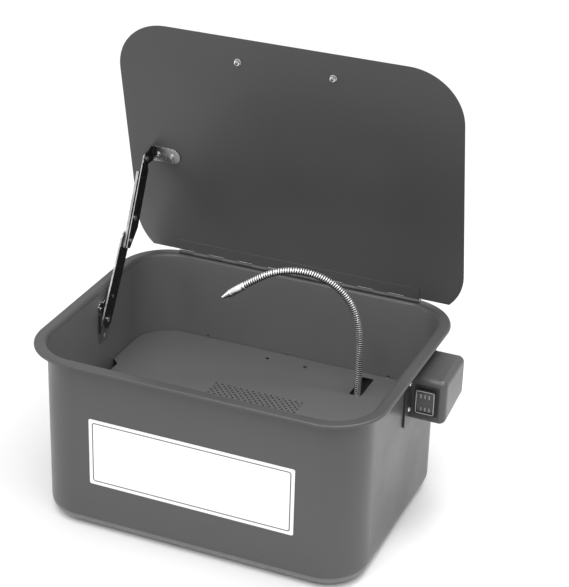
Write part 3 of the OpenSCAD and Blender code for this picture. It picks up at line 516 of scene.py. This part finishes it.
def paint_groove_shade(piece, frames, around):
    """Gives the sunk second wire, face by face, the near-black finish as painted shade in the grooves: less of it
    where the hose faces up, as painted light from above.
    """
    piece.data.materials.append(FINISH["groove_steel"])
    pitch = SPOUT["pitch"]
    for face in piece.data.polygons[: (len(frames) - 1) * around]:
        row, turn = divmod(face.index, around)
        along, _, side, up = frames[row]
        off = abs((along / pitch - turn / around + 0.04) % 1.0 - 0.5) * pitch
        angle = 2 * math.pi * turn / around
        rise = (math.cos(angle) * side + math.sin(angle) * up).z
        # painted light: the pale share of each turn grows where the hose faces up
        bright = 0.58 + 0.34 * min(1.0, max(0.0, rise * 2.0))
        face.material_index = 1 if off > SPOUT["wire"] * bright else 0


def build_spout():
    frames = spout_frames()
    folds = [j["pos_m"][2] for j in frame["joints"] if j["name"].startswith("neck_fold")]
    cuts = [(folds[0] + folds[1]) / 2, (folds[1] + folds[2]) / 2]
    nodes = (("spout_riser",), ("spout_lower",), ("spout_middle", "spout_arc"))
    starts = [0.0] + [c - SPOUT["start"] for c in cuts]
    ends = [c - SPOUT["start"] for c in cuts] + [frames[-1][0]]
    for i, name in enumerate(("hose_foot", "hose_bend", "hose_crook")):
        kept = [f for f in frames if starts[i] - 1e-6 <= f[0] <= ends[i] + SPOUT["pitch"] / 12]
        piece = wound_tube(name, kept, wire_radius, 32, "spout_chrome")
        paint_groove_shade(piece, kept, 32)
        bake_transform(piece)
        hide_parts(*nodes[i])


def nozzle_axis():
    """Where the nozzle starts, and the way it points."""
    frames = spout_frames(2)
    last, before = frames[-1][1], frames[-2][1]
    return last, (last - before).normalized()


def build_nozzle():
    """Crimped collar and tapered tip, turned in one line with the hose's end."""
    at, way = nozzle_axis()
    r = 6.2
    collar = [(-2.2, 4.3), (-2.4, 4.9), (-2.1, 5.3), (-1.4, r - 0.05), (-0.6, r), (2.2, r)]
    collar += [(2.6, r - 0.3), (3.0, r - 0.3), (3.4, r), (19.4, r), (19.9, r - 0.12)]
    collar += [(20.3, r - 0.5), (20.9, r - 0.5), (21.0, 2.0)]
    tip = [(20.9, 2.0), (20.9, r - 0.5), (21.2, r - 0.1), (21.6, r), (23.0, r), (23.9, r - 0.12)]
    tip += [(24.8, r - 0.5), (37.2, 2.25), (38.4, 2.0), (38.9, 1.75), (39.0, 1.35), (38.6, 1.1)]
    tip += [(35.0, 1.0), (34.9, 0.0)]
    parts = (("nozzle_sleeve", collar, "nozzle_collar"), ("nozzle_jet", tip, "nozzle_tip"))
    for name, profile, node in parts:
        piece = lathe(name, [(a * MM, q * MM) for a, q in profile], at, way, "spout_chrome", 64)
        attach(piece, "neck_upper")
        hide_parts(node)


# ---------------------------------------------------------------- fasteners on the lid


def lid_frame():
    """Matrix from the closed lid's frame, on the hinge axis, to the lid as drawn."""
    hinge = next(j for j in frame["joints"] if j["name"] == "lid_hinge")
    angle = math.radians(max(hinge["range_deg"]))
    return Matrix.Translation(Vector(hinge["pos_m"])) @ Matrix.Rotation(-angle, 4, "X")


def solids(node):
    """Centres of the separate solids of a CAD node."""
    mesh = bmesh.new()
    mesh.from_mesh(frame["nodes"][node].data)
    bmesh.ops.remove_doubles(mesh, verts=mesh.verts, dist=1e-7)
    left, centres = set(mesh.verts), []
    while left:
        stack, group = [left.pop()], []
        while stack:
            vert = stack.pop()
            group.append(vert.co)
            for edge in vert.link_edges:
                other = edge.other_vert(vert)
                if other in left:
                    left.remove(other)
                    stack.append(other)
        low = Vector([min(c[i] for c in group) for i in range(3)])
        high = Vector([max(c[i] for c in group) for i in range(3)])
        centres.append((low + high) / 2)
    mesh.free()
    return sorted(centres, key=lambda c: (round(c.x, 4), round(c.y, 4), round(c.z, 4)))


def hex_nut(name, centre, way, flats, bore, height):
    """A hexagon nut with chamfered corners, centred on a point, its axis along way."""
    way = Vector(way).normalized()
    side = way.orthogonal().normalized()
    up = way.cross(side)
    around, half = 72, flats / 2
    slope = math.tan(math.radians(30.0))
    verts, rings = [], 8
    for ring in range(rings):
        for j in range(around):
            turn = 2 * math.pi * j / around
            corner = half / math.cos((turn + math.pi / 6) % (math.pi / 3) - math.pi / 6)
            drop = (corner - half) * slope
            radius, z = (
                (bore, height / 2 - 0.3 * MM), (bore + 0.35 * MM, height / 2), (half * 0.97, height / 2),
                (corner, height / 2 - drop), (corner, drop - height / 2), (half * 0.97, -height / 2),
                (bore + 0.35 * MM, -height / 2), (bore, 0.3 * MM - height / 2),
            )[ring]
            spin = math.cos(turn) * side + math.sin(turn) * up
            verts.append(centre + radius * spin + z * way)
    faces = ring_faces(rings, around, closed_ends=False)
    last = (rings - 1) * around
    faces += [(last + j, last + (j + 1) % around, (j + 1) % around, j) for j in range(around)]
    return mesh_piece(name, verts, faces, "bright_steel", smooth=False)


def threaded_rod(name, centre, way, radius, length, pitch):
    """A screw's shank with a turned thread and chamfered ends, centred on a point."""
    way = Vector(way).normalized()
    side = way.orthogonal().normalized()
    up = way.cross(side)
    depth, count = 0.55 * pitch, int(length / pitch * 8)
    stations = []
    for i in range(count + 1):
        along = length * i / count
        stations.append((along, centre + way * (along - length / 2), side, up))

    def radius_at(along, share):
        wave = abs(((along / pitch - share) % 1.0) * 2 - 1)
        near_end = min(along, length - along)
        return radius - depth * wave - max(0.0, 0.7 * MM - near_end) * 0.8

    return wound_tube(name, stations, radius_at, 32, "pin_steel")


def build_lid_fasteners():
    way = lid_frame().to_3x3() @ Vector((0.0, 0.0, 1.0))
    for i, (nut, bolt) in enumerate(zip(solids("handle_nuts"), solids("handle_bolts")), 1):
        made = hex_nut(f"lid_nut_{i}", nut, way, 8.0 * MM, 2.2 * MM, 4.2 * MM)
        rod = threaded_rod(f"lid_bolt_{i}", bolt, way, 2.5 * MM, 19 * MM, 0.8 * MM)
        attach(made, "lid")
        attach(rod, "lid")
        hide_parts("handle_nuts")
        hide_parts("handle_bolts")


# ---------------------------------------------------------------- switch housing


def block_mesh(low, high):
    """A box mesh between two corners, for cutting."""
    mesh = bmesh.new()
    bmesh.ops.create_cube(mesh, size=1.0)
    size, middle = high - low, (low + high) / 2
    for vert in mesh.verts:
        vert.co = Vector([middle[i] + vert.co[i] * size[i] for i in range(3)])
    return mesh


def cut(piece, cutters):
    """Takes boxes and rods, given as bmeshes, out of a piece."""
    for i, cutter in enumerate(cutters):
        mesh = bpy.data.meshes.new("cutter")
        cutter.to_mesh(mesh)
        cutter.free()
        tool = bpy.data.objects.new("cutter", mesh)
        bpy.context.scene.collection.objects.link(tool)
        modifier = piece.modifiers.new("cut", "BOOLEAN")
        modifier.operation, modifier.object, modifier.solver = "DIFFERENCE", tool, "EXACT"
        bpy.context.view_layer.update()
        done = bpy.data.meshes.new_from_object(piece.evaluated_get(bpy.context.evaluated_depsgraph_get()))
        piece.modifiers.clear()
        piece.data = done
        bpy.data.objects.remove(tool)


def housing_outer(low, high):
    """The cover's outside: smaller towards the back, open on the side against the wall."""
    rise, narrowing, radius = 8 * MM, 3 * MM, 10 * MM
    mesh = bmesh.new()
    corners = {}
    for y, lift, less in ((low.y, 0.0, 0.0), (high.y, rise, narrowing)):
        for x in (low.x, high.x - less):
            for z in (low.z + lift, high.z):
                corners[y > low.y, x > low.x, z == high.z] = mesh.verts.new((x, y, z))
    b = (False, True)
    mesh.faces.new([corners[False, x, z] for x, z in ((0, 0), (1, 0), (1, 1), (0, 1))])
    mesh.faces.new([corners[True, x, z] for x, z in ((0, 0), (0, 1), (1, 1), (1, 0))])
    mesh.faces.new([corners[y, 1, z] for y, z in ((0, 0), (1, 0), (1, 1), (0, 1))])
    mesh.faces.new([corners[y, x, 0] for y, x in ((0, 0), (1, 0), (1, 1), (0, 1))])
    mesh.faces.new([corners[y, x, 1] for y, x in ((0, 0), (0, 1), (1, 1), (1, 0))])
    bmesh.ops.recalc_face_normals(mesh, faces=mesh.faces)
    inner = [e for e in mesh.edges if not e.is_boundary]
    bmesh.ops.bevel(mesh, geom=inner, offset=radius, segments=9, profile=0.5, affect="EDGES")
    return mesh


def build_housing():
    low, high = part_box("box_shell")
    mesh = housing_outer(low, high)
    bmesh.ops.recalc_face_normals(mesh, faces=mesh.faces)
    data = bpy.data.meshes.new("switch_housing")
    mesh.to_mesh(data)
    mesh.free()
    piece = bpy.data.objects.new("switch_housing", data)
    bpy.context.scene.collection.objects.link(piece)
    wall = piece.modifiers.new("wall", "SOLIDIFY")
    wall.thickness, wall.offset, wall.use_even_offset = 2.2 * MM, -1.0, True
    body_low, body_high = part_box("switch_body")
    gland_low, gland_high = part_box("cord_gland")
    reach = Vector((0.0, 6 * MM, 0.0))
    slack = Vector((0.2, 0.0, 0.2)) * MM
    mouth = block_mesh(body_low - slack - reach, body_high + slack)
    middle = (gland_low + gland_high) / 2
    around = Vector((6.1, 0, 6.1)) * MM
    exit_hole = block_mesh(Vector((middle.x, high.y - 8 * MM, middle.z)) - around,
                           Vector((middle.x, high.y + 4 * MM, middle.z)) + around)
    cut(piece, [mouth, exit_hole])
    piece.data.shade_smooth()
    piece.data.materials.clear()
    piece.data.materials.append(FINISH["tank_enamel"])
    flat = piece.modifiers.new("weighted", "WEIGHTED_NORMAL")
    flat.keep_sharp = True
    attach(piece, "tank")
    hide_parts("box_shell")


# ---------------------------------------------------------------- screws


def cross_screw(name, at, way, head_r, head_h, length, slot):
    """A pan-head screw with a cross recess; at is the middle of its head's underside."""
    way = Vector(way).normalized()
    shank = head_r * 0.55
    profile = [(-length, 0.0), (-length, shank * 0.5), (-length + shank, shank), (0.0, shank), (0.0, head_r)]
    profile += [(head_h * 0.35, head_r)]
    for i in range(1, 8):
        turn = math.radians(90 * i / 8)
        profile.append((head_h * (0.35 + 0.65 * math.sin(turn)), head_r * (0.35 + 0.65 * math.cos(turn))))
    profile += [(head_h, head_r * 0.3), (head_h, 0.0)]
    piece = lathe(name, profile, at, way, slot, 40)
    side = way.orthogonal().normalized()
    turn = Matrix((side, way.cross(side), way)).transposed().to_4x4()
    blades = []
    placed = Matrix.Translation(at + way * head_h * 1.45) @ turn
    for wide, tall in ((0.16, 0.62), (0.62, 0.16)):
        half = Vector((wide * head_r, tall * head_r, head_h))
        blade = block_mesh(-half, half)
        bmesh.ops.transform(blade, matrix=placed, verts=blade.verts)
        blades.append(blade)
    cut(piece, blades)
    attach(piece, "tank")
    return piece


def build_screws():
    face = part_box("box_plate")[1].x
    head_r, head_h, length = 4.2 * MM, 2.4 * MM, 9 * MM
    for i, at in enumerate(solids("box_screws"), 1):
        head = Vector((face, at.y, at.z))
        piece = cross_screw(f"box_screw_{i}", head, (1, 0, 0), head_r, head_h, length, "bright_steel")
        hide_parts("box_screws")


# ---------------------------------------------------------------- cords


def smooth_cord(name, points, radius, slot, body, *nodes):
    """A round cord that passes smoothly through its points."""
    curve = bpy.data.curves.new(name, "CURVE")
    curve.dimensions = "3D"
    curve.bevel_depth = radius
    curve.bevel_resolution = 6
    curve.resolution_u = 10
    curve.use_fill_caps = True
    spline = curve.splines.new("NURBS")
    spline.points.add(len(points) - 1)
    for target, point in zip(spline.points, points):
        target.co = (*point, 1.0)
    spline.order_u = 4
    spline.use_endpoint_u = True
    curve.materials.append(FINISH[slot])
    piece = bpy.data.objects.new(name, curve)
    bpy.context.scene.collection.objects.link(piece)
    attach(piece, body)
    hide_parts(*nodes)
    return piece


def build_mains_cord():
    """From the gland, round the corner of the tub, into a tied coil, and down to the plug."""
    gland_low, gland_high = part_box("cord_gland")
    plug_low, plug_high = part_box("mains_plug")
    cord_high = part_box("mains_cord")[1]
    tub_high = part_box("tank_tub")[1]
    r = 3.4 * MM
    gland = Vector(((gland_low.x + gland_high.x) / 2, gland_high.y, (gland_low.z + gland_high.z) / 2))
    plug = Vector(((plug_low.x + plug_high.x) / 2, (plug_low.y + plug_high.y) / 2, plug_high.z))
    coil_r = 52 * MM
    coil = Vector((plug.x + coil_r, 0.0, 150 * MM))
    front, back = plug.y, cord_high.y - r
    points = [gland - Vector((0, 10 * MM, 0)), gland + Vector((0, 4 * MM, 0))]
    points += [gland + Vector((0, 16 * MM, 0))]
    points += [Vector((tub_high.x - 28 * MM, gland.y + 52 * MM, gland.z - 4 * MM))]
    points += [Vector((tub_high.x - 50 * MM, back - 14 * MM, gland.z - 7 * MM))]
    points += [Vector((coil.x + coil_r * 1.6, back, gland.z - 6 * MM))]
    turns, per_turn = 3, 20
    start = math.radians(52.0)
    for i in range(turns * per_turn + per_turn // 2 + 2):
        share = i / per_turn
        angle = start + 2 * math.pi * share
        wobble = 1.0 + 0.018 * math.sin(3 * angle + 2.0 * share)
        deep = back - (back - front) * min(1.0, share / turns)
        across = coil.x + coil_r * wobble * math.cos(angle)
        points.append(Vector((across, deep, coil.z + coil_r * wobble * math.sin(angle))))
    points += [plug + Vector((2 * MM, 0, 30 * MM)), plug + Vector((0, 0, 12 * MM))]
    points += [plug - Vector((0, 0, 10 * MM))]
    smooth_cord("mains_lead", points, r, "black_rubber", "tank", "mains_cord")


def build_pump_cable():
    """From the pump, under the shelf, up through the finger notch and out to the switch box."""
    start_low, start_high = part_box("pump_cable")
    grommet_low, grommet_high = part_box("cable_grommet")
    wall = Vector((grommet_low.x, (grommet_low.y + grommet_high.y) / 2, (grommet_low.z + grommet_high.z) / 2))
    bead = 3.3 * MM
    start = Vector((start_low.x + bead, start_high.y - bead, start_low.z))
    points = [start, start.xy.to_3d() + Vector((0, 0, 77 * MM))]
    points += [start.xy.to_3d() + Vector(p) * MM for p in ((1, -8, 95), (4, -32, 105), (24, -66, 107))]
    points += [Vector(p) * MM for p in ((150, 34, 106), (200, 26, 106), (232, 24, 108), (247, 24, 118))]
    points += [Vector(p) * MM for p in ((250.3, 24, 134), (250.3, 24, 150), (250.3, 24, 168))]
    points += [wall + Vector(p) * MM for p in ((-13.6, -1.5, -20.5), (-13.4, 0, -11), (-11, 0, -1.5))]
    points += [wall - Vector((5, 0, 0)) * MM, wall, wall + Vector((13, 0, 0)) * MM]
    smooth_cord("pump_lead", points, 3 * MM, "black_rubber", "tank", "pump_cable")


# ---------------------------------------------------------------- stage


def area_light(name, at, target, size, power):
    light = bpy.data.lights.new(name, "AREA")
    light.shape = "RECTANGLE"
    light.size, light.size_y = size
    light.energy = power
    lamp = bpy.data.objects.new(name, light)
    bpy.context.scene.collection.objects.link(lamp)
    lamp.location = at
    lamp.rotation_euler = (Vector(target) - Vector(at)).to_track_quat("-Z", "Y").to_euler()
    return lamp


def sky_light(strength, spread, tilt):
    """An even light from above, as from a large overhead bank."""
    light = bpy.data.lights.new("overhead", "SUN")
    light.energy = strength
    light.angle = math.radians(spread)
    lamp = bpy.data.objects.new("overhead", light)
    bpy.context.scene.collection.objects.link(lamp)
    lamp.rotation_euler = [math.radians(a) for a in tilt]


def build_floor():
    size = 8.0
    verts = [(-size, -size, 0), (size, -size, 0), (size, size, 0), (-size, size, 0)]
    mesh = bpy.data.meshes.new("floor")
    mesh.from_pydata(verts, [], [(0, 1, 2, 3)])
    floor = bpy.data.objects.new("floor", mesh)
    floor.location.z = -0.0006
    bpy.context.scene.collection.objects.link(floor)
    g = Graph("floor_paper")
    g.set(Base_Color=grey(0.9), Roughness=0.9, Specular_IOR_Level=0.1)
    mesh.materials.append(g.material)


def build_stage():
    build_floor()
    world = bpy.data.worlds.new("studio")
    world.use_nodes = True
    world.node_tree.nodes["Background"].inputs["Color"].default_value = grey(1.0)
    world.node_tree.nodes["Background"].inputs["Strength"].default_value = 0.64
    bpy.context.scene.world = world
    sky_light(1.75, 60.0, (27.0, 5.0, 0.0))
    area_light("streak_box", (-0.15, -0.55, 1.3), (0.28, 0.0, 0.26), (0.5, 0.05), 1.2)
    area_light("right_box", (1.1, -0.75, 1.25), (0.28, -0.1, 0.2), (0.06, 0.9), 1.1)
    area_light("top_box", (0.5, 0.2, 1.3), (0.25, 0.05, 0.26), (0.35, 0.5), 6.5)
    area_light("left_box", (-2.0, -0.9, 0.8), (-0.2, -0.2, 0.2), (0.5, 1.2), 6.0)
    bpy.context.scene.view_settings.view_transform = "Standard"


def build_camera():
    """A long lens above and to the right of the front."""
    yaw, pitch, roll = (math.radians(a) for a in (22.213, 26.654, 1.702))
    data = bpy.data.cameras.new("camera")
    data.sensor_width = 36.0
    data.lens = 112.74
    data.clip_end = 50.0
    camera = bpy.data.objects.new("camera", data)
    bpy.context.scene.collection.objects.link(camera)
    turn = Matrix.Rotation(yaw, 4, "Z") @ Matrix.Rotation(math.pi / 2 - pitch, 4, "X")
    camera.matrix_world = (
        Matrix.Translation(Vector((984.87, -2259.87, 1590.38)) * MM) @ turn @ Matrix.Rotation(roll, 4, "Z")
    )
    bpy.context.scene.camera = camera


dress_cad()
build_spout()
build_nozzle()
build_lid_fasteners()
build_housing()
build_screws()
build_mains_cord()
build_pump_cable()
build_stage()
build_camera()
